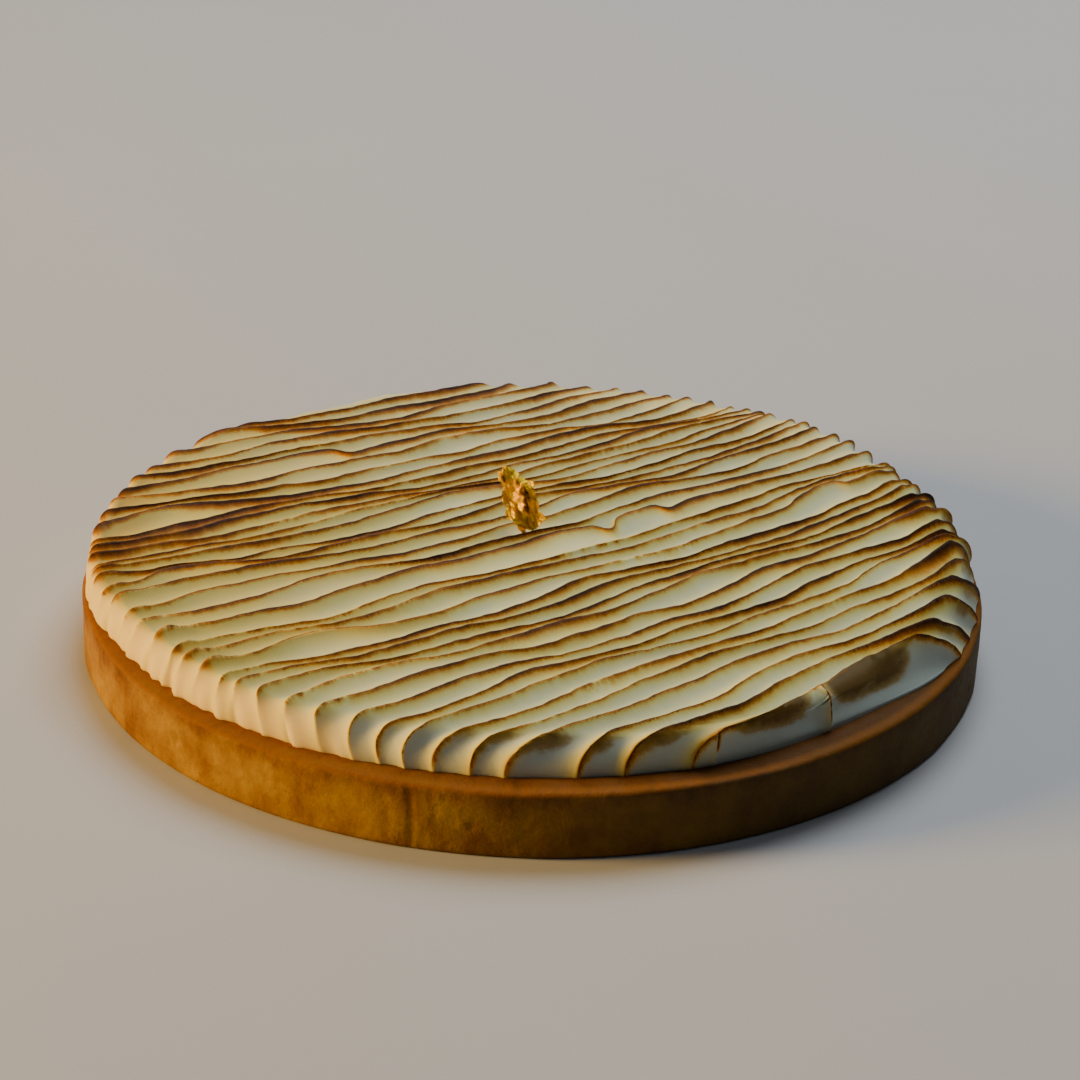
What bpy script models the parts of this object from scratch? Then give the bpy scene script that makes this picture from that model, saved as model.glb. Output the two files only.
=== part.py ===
"""A lemon meringue tart: straight-sided pastry, combed and toasted meringue, and a flake of gold leaf."""
import math
import random

import bmesh
import bpy
import numpy as np
from mathutils import Vector

MM = 0.001

# The pastry crust, with its filling, which is hidden under the meringue
TART_RADIUS = 120 * MM
CRUST_HEIGHT = 17.5 * MM
RIM_WIDTH = 3.6 * MM
RECESS_DEPTH = 1.5 * MM
FOOT_ROUNDING = 1.2 * MM
RIM_ROUNDING = 0.9 * MM
RIM_DIP = 0.5 * MM
RIM_DIP_ANGLE = math.radians(-64)
RIM_DIP_SPREAD = math.radians(7)
WALL_SEGMENTS = 144
WALL_RINGS = (0.2, 0.45, 0.7)
WALL_WAVES = ((0.13 * MM, 3, 0), (0.09 * MM, 8, 90), (0.08 * MM, 19, -260))
SEAM_ANGLE = math.radians(-103)
SEAM_CROWDING = 0.6
SEAM_DEPTH = 0.55 * MM
SEAM_WIDTH = 1.8 * MM
SEAM_LAP = 0.35 * MM
SEAM_LAP_WIDTH = 6 * MM

# The meringue
SEATING_GAP = 0.3 * MM
MERINGUE_RADIUS = 118.2 * MM
MERINGUE_SHIFT = 1.2 * MM
MERINGUE_SHIFT_ANGLE = math.radians(135)
FLAT_SPOT = 2.5 * MM
FLAT_SPOT_ANGLE = math.radians(125)
FLAT_SPOT_SPREAD = math.radians(14)
MERINGUE_TOP = 27.2 * MM
CROWN = 0.4 * MM
FRONT_ANGLE = math.radians(-72)
SHOULDER_START_FRONT = 0.925
SHOULDER_START_BACK = 0.965
SHOULDER_POWER = 0.9
SHOULDER_STEPS_DEG = (12, 28, 48, 70, 89.9)
MERINGUE_COLUMNS = 38
ROW_SPLITS = (0, 0.5)
ROW_REACH_LIMIT = -0.18

# The combed ridges: u runs along them and v across them, to the back left
RIDGE_ANGLE = math.radians(33)
RIDGE_SEED = 11
RIDGE_COUNT = 41
FIRST_CREST = -106.5 * MM
OUTER_GAP = 16 * MM
RIDGE_GAP = 6.1 * MM
RIDGE_GAP_SPREAD = 0.36
RIDGE_LEAST_GAP = 1.1 * MM
RIDGE_SOFTNESS = 0.8 * MM
RIDGE_DEPTH = 2.3 * MM
RIDGE_DEPTH_PER_GAP = 0.40
GROOVE_LOWEST = 0.46
RIDGE_SLOPE = 0.03
RIDGE_BEND_PER_METRE = 1.0
RIDGE_FAN_PER_METRE = -1.0
SHARED_WAVES = ((1.5 * MM, 105 * MM, 0.11), (0.8 * MM, 58 * MM, 0.21))
OWN_WAVES = ((0.75 * MM, 46 * MM), (0.35 * MM, 23 * MM))
CREST_RISE = 0.35 * MM
CREST_RISE_LENGTH = 185 * MM
CREST_RISE_DRIFT = 4.1

# The wall of the meringue: flutes that fade to its foot, and crest ends that stand out as noses
FLUTE_AT_FOOT = 0.4
SMOOTH_WALL_ANGLE = math.radians(195)
SMOOTH_WALL_SPREAD = math.radians(40)
NEAR_NOSE = 0.9 * MM
FAR_NOSE = 3.0 * MM
NOSE_UNEVENNESS = 0.22
NOSE_WAVES = 23
BULGE = 3.0 * MM
BULGE_ANGLE = math.radians(46)
BULGE_SPREAD = math.radians(11)
FAR_END_ANGLE = math.radians(38)
FAR_END_SPREAD = math.radians(34)
NOSE_LIFT = 0.35
FACET_CREST_ANGLE = math.radians(-53.5)
FACET_CREST_WIDTH = 1.6 * MM

# Places where one crest leaves its line: across, from, to, rise, and how fast it starts and ends
SWELLS = (
    (-3.5 * MM, -36 * MM, 21 * MM, 5.0 * MM, 9 * MM, 1.2 * MM),
    (-3.5 * MM, 26 * MM, 43 * MM, 5.2 * MM, 2.0 * MM, 1.2 * MM),
    (75.5 * MM, -62 * MM, -15 * MM, 5.0 * MM, 12 * MM, 1.6 * MM),
    (60.0 * MM, -96 * MM, -58 * MM, 3.4 * MM, 5 * MM, 9 * MM),
    (-20.5 * MM, 76 * MM, 97 * MM, 4.6 * MM, 7 * MM, 1.5 * MM),
    (-22.0 * MM, -90 * MM, -66 * MM, 3.0 * MM, 5 * MM, 6 * MM),
    (31.0 * MM, -20 * MM, 22 * MM, 3.4 * MM, 12 * MM, 14 * MM),
    (-47.0 * MM, 64 * MM, 108 * MM, 3.2 * MM, 10 * MM, 9 * MM),
    (24.0 * MM, -97 * MM, -78 * MM, 3.0 * MM, 3 * MM, 8 * MM),
)

# The gold leaf, standing near the middle and leaning back
LEAF_FOOT = Vector((-0.2 * MM, 6.2 * MM, 29.5 * MM))
LEAF_LENGTH = 17.5 * MM
LEAF_WIDTH = 10.5 * MM
LEAF_THICKNESS = 0.4 * MM
LEAF_LEAN = math.radians(30)
LEAF_TILT = math.radians(24)
LEAF_TURN = math.radians(12)
LEAF_ROWS = 13
LEAF_COLUMNS = 8
LEAF_CRUMPLE = 1.1 * MM
LEAF_END_SHARE = 0.35
LEAF_RAGGED = 0.11


def clear_scene():
    for item in list(bpy.data.objects):
        bpy.data.objects.remove(item)


def plain_material(name, colour, roughness, metallic=0.0):
    material = bpy.data.materials.new(name)
    material.use_nodes = True
    shader = material.node_tree.nodes["Principled BSDF"]
    shader.inputs["Base Color"].default_value = (*colour, 1)
    shader.inputs["Roughness"].default_value = roughness
    shader.inputs["Metallic"].default_value = metallic
    material.diffuse_color = (*colour, 1)
    return material


def finish_object(bm, name, material):
    bmesh.ops.recalc_face_normals(bm, faces=bm.faces)
    mesh = bpy.data.meshes.new(name)
    bm.to_mesh(mesh)
    bm.free()
    mesh.materials.append(material)
    mesh.shade_smooth()
    mesh.set_sharp_from_angle(angle=math.radians(50))
    item = bpy.data.objects.new(name, mesh)
    bpy.context.scene.collection.objects.link(item)
    return item


def grow_ring(bm, edges):
    """Extrude a closed loop of edges and give back the new vertices and edges."""
    grown = bmesh.ops.extrude_edge_only(bm, edges=edges)["geom"]
    verts = [part for part in grown if isinstance(part, bmesh.types.BMVert)]
    fresh = set(verts)
    loop = [part for part in grown if isinstance(part, bmesh.types.BMEdge) and fresh.issuperset(part.verts)]
    return verts, loop


def close_with_fan(bm, loop):
    """Fill a flat loop with one face and split it into a fan of triangles."""
    cap = bmesh.ops.contextual_create(bm, geom=loop)["faces"]
    bmesh.ops.poke(bm, faces=cap)


def bump(distance, width):
    """A smooth hump, 1 at no distance and fading to 0."""
    return np.exp(-(distance / width) ** 2)


def turned_from(angle, middle):
    """The angle from a middle direction, from minus a half turn to a half turn."""
    return (angle - middle + math.pi) % math.tau - math.pi


# Crust

def crust_profile():
    """Radius and height up the outer wall, over the rim and down into the recess."""
    inner = TART_RADIUS - RIM_WIDTH
    corners = [(TART_RADIUS - FOOT_ROUNDING, 0.0), (TART_RADIUS - 0.3 * FOOT_ROUNDING, 0.3 * FOOT_ROUNDING)]
    for share in WALL_RINGS:
        corners.append((TART_RADIUS, share * CRUST_HEIGHT))
    for angle in (0, 0.25 * math.pi, 0.5 * math.pi):
        out = TART_RADIUS - RIM_ROUNDING * (1 - math.cos(angle))
        corners.append((out, CRUST_HEIGHT - RIM_ROUNDING * (1 - math.sin(angle))))
    corners.append((inner + 0.5 * RIM_ROUNDING, CRUST_HEIGHT))
    corners.append((inner, CRUST_HEIGHT - RECESS_DEPTH))
    return corners


def wall_relief(angle, height):
    """How far the baked wall stands out of the true cylinder."""
    wave = sum(size * math.sin(count * angle + twist * height) for size, count, twist in WALL_WAVES)
    along = turned_from(angle, SEAM_ANGLE) * TART_RADIUS
    lap = SEAM_LAP * bump(along + SEAM_LAP_WIDTH, SEAM_LAP_WIDTH)
    return wave + lap - SEAM_DEPTH * bump(along, SEAM_WIDTH)


def crowd_to_seam(angle):
    """Draw evenly spaced angles together around the seam in the wall."""
    from_seam = turned_from(angle, SEAM_ANGLE)
    return SEAM_ANGLE + from_seam - SEAM_CROWDING * math.sin(from_seam)


def rim_dip(angle, height):
    """How far the rim sags in one place of the front."""
    return RIM_DIP * bump(turned_from(angle, RIM_DIP_ANGLE), RIM_DIP_SPREAD) * (height > 0.8 * CRUST_HEIGHT)


def make_crust(material):
    bm = bmesh.new()
    angles = bm.verts.layers.float.new("angle")
    profile = crust_profile()
    start = bmesh.ops.create_circle(bm, segments=WALL_SEGMENTS, radius=profile[0][0], cap_ends=False)["verts"]
    for vert in start:
        vert[angles] = crowd_to_seam(math.atan2(vert.co.y, vert.co.x))
    bottom = list(bm.edges)
    ring, loop = start, bottom
    for step, (radius, height) in enumerate(profile):
        if step:
            ring, loop = grow_ring(bm, loop)
        on_wall = min(1, height / FOOT_ROUNDING) * (radius > TART_RADIUS - 2 * RIM_ROUNDING)
        in_recess = step == len(profile) - 1
        for vert in ring:
            angle = vert[angles]
            out = radius + on_wall * wall_relief(angle, height)
            dip = 0 if in_recess else rim_dip(angle, height)
            vert.co = (out * math.cos(angle), out * math.sin(angle), height - dip)
    close_with_fan(bm, loop)
    close_with_fan(bm, bottom)
    return finish_object(bm, "crust", material)


# Ridges

def smooth_step(value):
    return 0.5 * (1 + np.tanh(value))


def crest_levels(dice):
    """Where the crests cross the middle line: one far below the front edge, then all those on the tart."""
    gaps = [RIDGE_GAP * (1 + RIDGE_GAP_SPREAD * dice.uniform(-1, 1)) for _ in range(RIDGE_COUNT - 2)]
    return np.cumsum([FIRST_CREST - OUTER_GAP, OUTER_GAP] + gaps)


def crest_lines(u):
    """The place across the ridges of every crest, one row a crest, at the places u along them."""
    dice = random.Random(RIDGE_SEED)
    levels = crest_levels(dice)
    shared = [dice.uniform(0, math.tau) for _ in SHARED_WAVES]
    lines = []
    for number, level in enumerate(levels):
        fan = RIDGE_FAN_PER_METRE * level
        line = level + (RIDGE_SLOPE + fan) * u + 0.5 * RIDGE_BEND_PER_METRE * u ** 2
        for (height, length, drift), phase in zip(SHARED_WAVES, shared):
            line += height * np.sin(math.tau * (u / length + drift * number) + phase)
        for height, length in OWN_WAVES:
            line += height * dice.uniform(0.5, 1) * np.sin(math.tau * u / length + dice.uniform(0, math.tau))
        lines.append(line)
    lines = np.array(lines)
    swell_crests(lines, u, levels)
    keep_apart(lines)
    return lines


def swell_crests(lines, u, levels):
    """Lift single crests off their line over a stretch, with a soft start and a hooked end."""
    for across, start, end, rise, start_length, end_length in SWELLS:
        number = int(np.argmin(np.abs(levels - across)))
        window = smooth_step((u - start) / start_length) * smooth_step((end - u) / end_length)
        lines[number] += rise * window


def keep_apart(lines):
    """Let crests run close together but never cross."""
    for low, high in zip(lines, lines[1:]):
        spare = high - low - RIDGE_LEAST_GAP
        high[:] = low + RIDGE_LEAST_GAP + 0.5 * (spare + np.sqrt(spare ** 2 + RIDGE_SOFTNESS ** 2))


def ridge_relief(u, v):
    """Depth below the crests, and the rise of the crests themselves, at points of the plan."""
    lines = crest_lines(u)
    number = np.clip((lines <= v).sum(axis=0) - 1, 0, RIDGE_COUNT - 2)
    column = np.arange(len(u))
    below = lines[number, column]
    gap = lines[number + 1, column] - below
    share = np.clip((v - below) / gap, 0, 1) ** (math.log(0.5) / math.log(GROOVE_LOWEST))
    deepest = RIDGE_DEPTH * np.tanh(RIDGE_DEPTH_PER_GAP * gap / RIDGE_DEPTH)
    depth = deepest * (1 - (2 * share - 1) ** 2)
    rise = [CREST_RISE * np.sin(CREST_RISE_DRIFT * (number + side) + math.tau * u / CREST_RISE_LENGTH)
            for side in (0, 1)]
    return depth, rise[0] + (rise[1] - rise[0]) * share


# Meringue

def edge_radius(angle):
    """Outer radius of the meringue, which sits a little off centre and is flattened in one place."""
    flat = FLAT_SPOT * bump(turned_from(angle, FLAT_SPOT_ANGLE), FLAT_SPOT_SPREAD)
    return MERINGUE_RADIUS + MERINGUE_SHIFT * np.cos(angle - MERINGUE_SHIFT_ANGLE) - flat


def shoulder_start(angle):
    """The share of the edge radius at which the top turns down: wide at the front, tight elsewhere."""
    front = smooth_step(3 * np.cos(angle - FRONT_ANGLE) - 1)
    return SHOULDER_START_BACK + (SHOULDER_START_FRONT - SHOULDER_START_BACK) * front


def ridge_to_plan(u, v):
    cos, sin = math.cos(RIDGE_ANGLE), math.sin(RIDGE_ANGLE)
    return u * cos - v * sin, u * sin + v * cos


def shoulder_reach(u, v):
    """How far out a point is: below 0 on the top, 0 where the shoulder starts and 1 at the edge."""
    x, y = ridge_to_plan(u, v)
    angle = np.arctan2(y, x)
    start = shoulder_start(angle)
    return (np.hypot(x, y) / edge_radius(angle) - start) / (1 - start)


class CombRows:
    """Rows that follow the crests and grooves, each with its crossings of the shoulder's rings."""

    def __init__(self, splits, samples=900):
        self.u = np.linspace(-TART_RADIUS, TART_RADIUS, samples)
        inside = [line for line in crest_lines(self.u) if shoulder_reach(self.u, line).min() < ROW_REACH_LIMIT]
        rows = []
        for low, high in zip(inside, inside[1:]):
            rows += [low + (high - low) * share for share in splits]
        self.rows = np.array(rows + [inside[-1]])
        self.last = len(self.rows) - 1
        self.reaches = [shoulder_reach(self.u, row) for row in self.rows]

    def crossing(self, number, reach, side):
        """Where a row meets a ring of the shoulder, on its left side or its right side."""
        middle = int(np.argmin(self.reaches[number]))
        if side < 0:
            return np.interp(-reach, -self.reaches[number][:middle + 1], self.u[:middle + 1])
        return np.interp(reach, self.reaches[number][middle:], self.u[middle:])

    def across(self, number, u):
        return np.interp(u, self.u, self.rows[number])

    def crossing_angle(self, number, reach, side):
        u = self.crossing(number, reach, side)
        return math.atan2(self.across(number, u), u) + RIDGE_ANGLE


def flute_depth(angle, drop, depth):
    """The grooves' depth down the wall: a crest divides the widest facet, and flutes fade to the foot."""
    divider = TART_RADIUS * np.abs(turned_from(angle, FACET_CREST_ANGLE))
    return depth * (1 - np.sin(drop) * np.exp(-divider / FACET_CREST_WIDTH))


def flute_fade(angle, drop):
    """How much of the relief is left at a turn of the shoulder; the wall is smooth at the left."""
    smooth = bump(turned_from(angle, SMOOTH_WALL_ANGLE), SMOOTH_WALL_SPREAD)
    kept = FLUTE_AT_FOOT * (1 - smooth)
    return 1 - (1 - kept) * np.sin(drop) ** (6 - 3 * smooth)


def nose_reach(angle, drop, depth):
    """How far the crests' ends stand out over the wall, most where the comb left the tart."""
    far = bump(turned_from(angle, FAR_END_ANGLE), FAR_END_SPREAD)
    uneven = 1 - NOSE_UNEVENNESS * (1 + np.sin(NOSE_WAVES * angle))
    crest = np.clip(1 - depth / RIDGE_DEPTH, 0, 1)
    return (NEAR_NOSE + (FAR_NOSE - NEAR_NOSE) * far) * uneven * np.sin(2 * drop) * crest


def surface_points(u, v, drop):
    """Points of the combed surface over places of the plan; drop is the turn of the shoulder there."""
    x, y = ridge_to_plan(u, v)
    angle = np.arctan2(y, x)
    out = np.hypot(x, y)
    share = out / edge_radius(angle)
    base = CRUST_HEIGHT + SEATING_GAP
    height = base + (MERINGUE_TOP - base) * np.cos(drop) ** SHOULDER_POWER
    height = height + CROWN * np.clip(1 - share ** 2, 0, 1)
    depth, rise = ridge_relief(u, v)
    depth = flute_depth(angle, drop, depth)
    nose = nose_reach(angle, drop, depth)
    move = (rise - depth) * flute_fade(angle, drop)
    bulge = BULGE * bump(turned_from(angle, BULGE_ANGLE), BULGE_SPREAD) * share ** 12 * np.sqrt(np.cos(drop))
    out = out + move * np.sin(drop) + nose + bulge
    height = height + move * np.cos(drop) + NOSE_LIFT * (nose + bulge)
    return np.stack((out * np.cos(angle), out * np.sin(angle), height), axis=1)


def move_to(verts, places):
    for vert, place in zip(verts, places):
        vert.co = place


def place_top(verts, comb, rows, columns):
    """Lay the grid's vertices along the comb's rows, out to the start of the shoulder."""
    ends = [[comb.crossing(number, 0, side) for side in (-1, 1)] for number in range(comb.last + 1)]
    left, right = np.array(ends)[rows].T
    u = left + (right - left) * columns / MERINGUE_COLUMNS
    v = np.array([comb.across(number, place) for number, place in zip(rows, u)])
    move_to(verts, surface_points(u, v, np.zeros(len(u))))


def place_ring(verts, comb, rows, columns, drop):
    """Lay a ring of the shoulder's vertices where the rows cross it, and evenly past the outermost rows."""
    reach = math.sin(drop)
    corner = {(number, side): comb.crossing_angle(number, reach, side)
              for number in (0, comb.last) for side in (-1, 1)}
    angles = []
    for number, column in zip(rows, columns):
        if column in (0, MERINGUE_COLUMNS):
            angles.append(comb.crossing_angle(number, reach, 1 if column else -1))
            continue
        start, end = corner[number, -1], corner[number, 1]
        sweep = (end - start) % math.tau if number == 0 else -((start - end) % math.tau)
        angles.append(start + sweep * column / MERINGUE_COLUMNS)
    angles = np.array(angles)
    angles[np.argmin(np.abs(turned_from(angles, FACET_CREST_ANGLE)))] = FACET_CREST_ANGLE
    start = shoulder_start(angles)
    radius = edge_radius(angles) * (start + (1 - start) * reach)
    in_frame = angles - RIDGE_ANGLE
    move_to(verts, surface_points(radius * np.cos(in_frame), radius * np.sin(in_frame), np.full(len(verts), drop)))


def make_meringue(material):
    bm = bmesh.new()
    comb = CombRows(ROW_SPLITS)
    bm.verts.layers.int.new("row")
    bm.verts.layers.int.new("column")
    row_of, column_of = bm.verts.layers.int["row"], bm.verts.layers.int["column"]
    bmesh.ops.create_grid(bm, x_segments=MERINGUE_COLUMNS, y_segments=comb.last, size=1)
    for vert in bm.verts:
        vert[column_of] = round((vert.co.x + 1) * 0.5 * MERINGUE_COLUMNS)
        vert[row_of] = round((vert.co.y + 1) * 0.5 * comb.last)
    verts = list(bm.verts)
    place_top(verts, comb, np.array([vert[row_of] for vert in verts]), np.array([vert[column_of] for vert in verts]))
    loop = [edge for edge in bm.edges if edge.is_boundary]
    for step in SHOULDER_STEPS_DEG:
        ring, loop = grow_ring(bm, loop)
        rows, columns = [vert[row_of] for vert in ring], [vert[column_of] for vert in ring]
        place_ring(ring, comb, rows, columns, math.radians(step))
    seat_meringue(bm, loop)
    return finish_object(bm, "meringue", material)


def seat_meringue(bm, loop):
    """Close the underside: a lip over the crust's rim and a flat base in its recess."""
    seat = TART_RADIUS - RIM_WIDTH - 2 * SEATING_GAP
    for height in (CRUST_HEIGHT + SEATING_GAP, CRUST_HEIGHT - RECESS_DEPTH + SEATING_GAP):
        ring, loop = grow_ring(bm, loop)
        for vert in ring:
            flat = Vector((vert.co.x, vert.co.y, 0)).normalized() * seat
            vert.co = (flat.x, flat.y, height)
    close_with_fan(bm, loop)


# Gold leaf

def leaf_place(along, across):
    """A point of the crumpled leaf, with along from foot to tip and across from side to side."""
    narrowing = LEAF_END_SHARE + (1 - LEAF_END_SHARE) * math.sin(math.pi * (0.12 + 0.8 * along))
    ragged = 1 + LEAF_RAGGED * (math.sin(9 * along + 2 * across) + 0.7 * math.sin(23 * along))
    x = across * 0.5 * LEAF_WIDTH * narrowing * ragged
    z = along * LEAF_LENGTH + LEAF_RAGGED * LEAF_WIDTH * math.sin(5 * across + 1) * (along - 0.5)
    folds = math.sin(2.6 * across + 5 * along) + 0.6 * math.sin(11 * along - 2 * across)
    return Vector((x, LEAF_CRUMPLE * folds, z))


def make_gold_leaf(material):
    bm = bmesh.new()
    bmesh.ops.create_grid(bm, x_segments=LEAF_COLUMNS, y_segments=LEAF_ROWS, size=1)
    for vert in bm.verts:
        vert.co = leaf_place((vert.co.y + 1) * 0.5, vert.co.x)
    bmesh.ops.triangulate(bm, faces=bm.faces)
    bmesh.ops.recalc_face_normals(bm, faces=bm.faces)
    bmesh.ops.solidify(bm, geom=bm.faces, thickness=LEAF_THICKNESS)
    leaf = finish_object(bm, "gold_leaf", material)
    leaf.location = LEAF_FOOT
    leaf.rotation_euler = (-LEAF_LEAN, -LEAF_TILT, LEAF_TURN)
    return leaf


clear_scene()
make_crust(plain_material("Baked pastry", (0.46, 0.22, 0.05), 0.7))
make_meringue(plain_material("Toasted meringue", (0.80, 0.70, 0.50), 0.5))
make_gold_leaf(plain_material("Gold leaf", (0.95, 0.62, 0.12), 0.25, metallic=1.0))
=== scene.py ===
"""The looks of a lemon meringue tart: baked pastry, torched meringue combed into ridges, and gold leaf."""

import math
import random

import bmesh
import bpy
import numpy as np
from mathutils import Matrix, Vector, noise


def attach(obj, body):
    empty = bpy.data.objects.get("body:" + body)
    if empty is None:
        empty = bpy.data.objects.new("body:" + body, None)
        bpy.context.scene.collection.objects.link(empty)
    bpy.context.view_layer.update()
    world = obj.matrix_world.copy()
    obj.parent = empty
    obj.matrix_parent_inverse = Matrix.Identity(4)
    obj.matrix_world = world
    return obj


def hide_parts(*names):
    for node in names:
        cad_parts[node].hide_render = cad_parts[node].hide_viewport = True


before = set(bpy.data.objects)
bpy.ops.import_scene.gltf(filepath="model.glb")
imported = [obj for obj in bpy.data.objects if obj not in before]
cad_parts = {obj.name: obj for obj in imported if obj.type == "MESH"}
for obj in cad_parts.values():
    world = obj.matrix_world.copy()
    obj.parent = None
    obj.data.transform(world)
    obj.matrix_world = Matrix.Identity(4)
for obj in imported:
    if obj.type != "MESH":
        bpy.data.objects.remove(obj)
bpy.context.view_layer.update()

MM = 0.001

# Names that end in _AT hold a direction around the tart and a spread, or a direction, half a span and the
# softness of its ends. They are in degrees.

# The pastry crust, as in the CAD
TART_RADIUS = 120 * MM
CRUST_HEIGHT = 17.5 * MM
RIM_WIDTH = 3.6 * MM
RECESS_DEPTH = 1.5 * MM
FOOT_ROUNDING = 1.2 * MM
RIM_DIP = 0.5 * MM
RIM_DIP_AT = (-64, 7)
WALL_WAVES = ((0.13 * MM, 3, 0), (0.09 * MM, 8, 90), (0.08 * MM, 19, -260))
SEAM_ANGLE = math.radians(-103)
SEAM_LAP_WIDTH = 6 * MM

# The crust's finer detail, with a shallower seam than the CAD's and a rounder rim
SEAM_DEPTH = 0.18 * MM
SEAM_WIDTH = 1.2 * MM
SEAM_LAP = 0.22 * MM
RIM_ROUNDING = 1.5 * MM
CRUST_SEGMENTS = 1080
WALL_RINGS = 16
RIM_STEPS_DEG = (15, 30, 45, 60, 75, 90)
# The rim between its rounding and the recess: distance out from the inner wall, and distance below the top
RIM_CORNERS = ((1.4 * MM, 0), (0.6 * MM, 0.05 * MM), (0, 0.1 * MM))
RIM_SHARE = 0.7
RIM_LUMPS = ((0.28 * MM, 9 * MM, 0.0), (0.14 * MM, 3.1 * MM, 4.0))
WALL_DENTS = ((0.16 * MM, 11 * MM), (0.09 * MM, 4.5 * MM), (0.05 * MM, 1.8 * MM))
# Wrinkles beside the seam: distance around the wall, depth and width, in millimetres
WRINKLES = ((-6.5, 0.13, 0.9), (-3.0, 0.18, 0.8), (0.0, 0.20, 0.7), (2.6, 0.18, 0.8), (5.5, 0.15, 0.9),
            (9.0, 0.10, 0.8))
WRINKLE_LEAN = (0.8 * MM, 4 * MM)
WRINKLE_FADE = (0.45, 5.5 * MM)
# Pits in the wall: direction in degrees, then height, depth and width, in millimetres
PITS = ((-135.8, 9.5, 0.9, 0.9), (-137.2, 7.2, 0.6, 0.6), (-121.0, 10.5, 0.5, 0.8), (-116.5, 12.0, 0.5, 0.7),
        (-96.0, 8.0, 0.5, 0.9), (-151.0, 5.5, 0.6, 0.6), (-62.0, 7.5, 0.6, 0.8), (-40.0, 10.5, 0.5, 0.7),
        (-18.0, 6.0, 0.6, 0.8), (20.0, 9.0, 0.5, 0.8), (77.0, 7.0, 0.6, 0.9), (118.0, 10.0, 0.5, 0.7),
        (160.0, 8.0, 0.6, 0.8), (-168.0, 11.0, 0.5, 0.7))

# The meringue, as in the CAD
SEATING_GAP = 0.3 * MM
MERINGUE_RADIUS = 118.2 * MM
MERINGUE_SHIFT = 1.2 * MM
MERINGUE_SHIFT_ANGLE = math.radians(135)
FLAT_SPOT = 2.5 * MM
FLAT_SPOT_AT = (125, 14)
MERINGUE_TOP = 27.2 * MM
CROWN = 0.4 * MM
FRONT_ANGLE = math.radians(-72)
SHOULDER_START_BACK = 0.965
SHOULDER_POWER = 0.9
ROW_REACH_LIMIT = -0.18

# The combed ridges, as in the CAD: u runs along them and v across them, to the back left
RIDGE_ANGLE = math.radians(33)
RIDGE_SEED = 11
RIDGE_COUNT = 41
FIRST_CREST = -106.5 * MM
OUTER_GAP = 16 * MM
RIDGE_GAP = 6.1 * MM
RIDGE_GAP_SPREAD = 0.36
RIDGE_LEAST_GAP = 1.1 * MM
RIDGE_SOFTNESS = 0.8 * MM
RIDGE_DEPTH = 2.3 * MM
RIDGE_DEPTH_PER_GAP = 0.40
GROOVE_LOWEST = 0.46
RIDGE_SLOPE = 0.03
RIDGE_BEND_PER_METRE = 1.0
RIDGE_FAN_PER_METRE = -1.0
SHARED_WAVES = ((1.5 * MM, 105 * MM, 0.11), (0.8 * MM, 58 * MM, 0.21))
OWN_WAVES = ((0.75 * MM, 46 * MM), (0.35 * MM, 23 * MM))
CREST_RISE = 0.35 * MM
CREST_RISE_LENGTH = 185 * MM
CREST_RISE_DRIFT = 4.1
FLUTE_AT_FOOT = 0.4
NEAR_NOSE = 0.9 * MM
FAR_NOSE = 3.0 * MM
FAR_END_AT = (38, 34)
NOSE_LIFT = 0.35
BULGE = 3.0 * MM
BULGE_AT = (46, 11)
FACET_CREST_WIDTH = 1.6 * MM

# Places where one crest leaves its line: across, from, to, rise, and how fast it starts and ends, in mm
SWELLS = (
    (-3.5, -36, 21, 5.0, 9, 1.2), (-3.5, 26, 43, 5.2, 2.0, 1.2), (75.5, -62, -15, 5.0, 12, 1.6),
    (60.0, -96, -58, 3.4, 5, 9), (-20.5, 76, 97, 4.6, 7, 1.5), (-22.0, -90, -66, 3.0, 5, 6),
    (31.0, -20, 22, 3.4, 12, 14), (-47.0, 64, 108, 3.2, 10, 9), (24.0, -97, -78, 3.0, 3, 8),
)

# Form of the meringue that the CAD doesn't have: its foot stands back from the rim at the front
SHOULDER_START_FRONT = 0.928
LEFT_SHOULDER_AT = (-147, 29, 8)
FACET_SHOULDER_AT = (-57, 21, 6)
FRONT_INSET = 5.2 * MM
FRONT_INSET_AT = (-96, 63, 7)
RIM_OVERLAP = 0.5 * MM
LIP_REACH = 1.2 * MM
LIP_HEIGHT = 17.0 * MM
RIGHT_SWELL = 1.9 * MM
RIGHT_SWELL_AT = (2, 27)
# The crests' ends over the wall
NOSE_SHARES = (0.25, 1.15)
NOSE_SEED = 3
LEFT_NOSE = 1.0 * MM
ELBOW_RISE = 2.2 * MM
ELBOW_AT = (-8, 42)
ELBOW_SHARE = 0.932
ELBOW_LENGTH = 0.020
ELBOW_TAIL_LENGTH = 0.052
ELBOW_SLOPE = 1.2
TIP_RISE = 1.5 * MM
TIP_SHARES = (0.1, 1.0)
TIP_AT = (-147, 32)
TIP_SHARE = 0.955
TIP_LENGTH = 0.022
END_DEPTH = 0.7 * MM
# The wall: wide facets at the front right, shallow grooves far away, smooth at the left with lumps below
FACET_DEPTH = 3.4 * MM
FACET_SLOPE = 2.2 * MM
DIVIDER_NOSE = 0.7 * MM
DIVIDER_FILL = 0.85
FAR_FADE = 0.65
FAR_FADE_AT = (62, 38)
FAR_FADE_SHARE = (0.905, 0.03)
LEFT_WALL_AT = (-162, 47, 4)
FLUTE_FADE_POWER = 6
LEFT_FADE_POWER = 1.3
LOBE_REACH = 2.8 * MM
LOBE_SAG = 0.5 * MM
LOBE_AT = (-137, 26)
LOBE_LEVEL = 0.62
LOBE_LUMPS = ((0.75, 5.0 * MM, 3.0), (0.3, 2.0 * MM, 5.0))
LOBE_LIMIT = 1.4
LOBE_POWER = 5
WALL_TWIST = math.radians(2.6)
WALL_TWIST_AT = (-119, 17)
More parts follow.
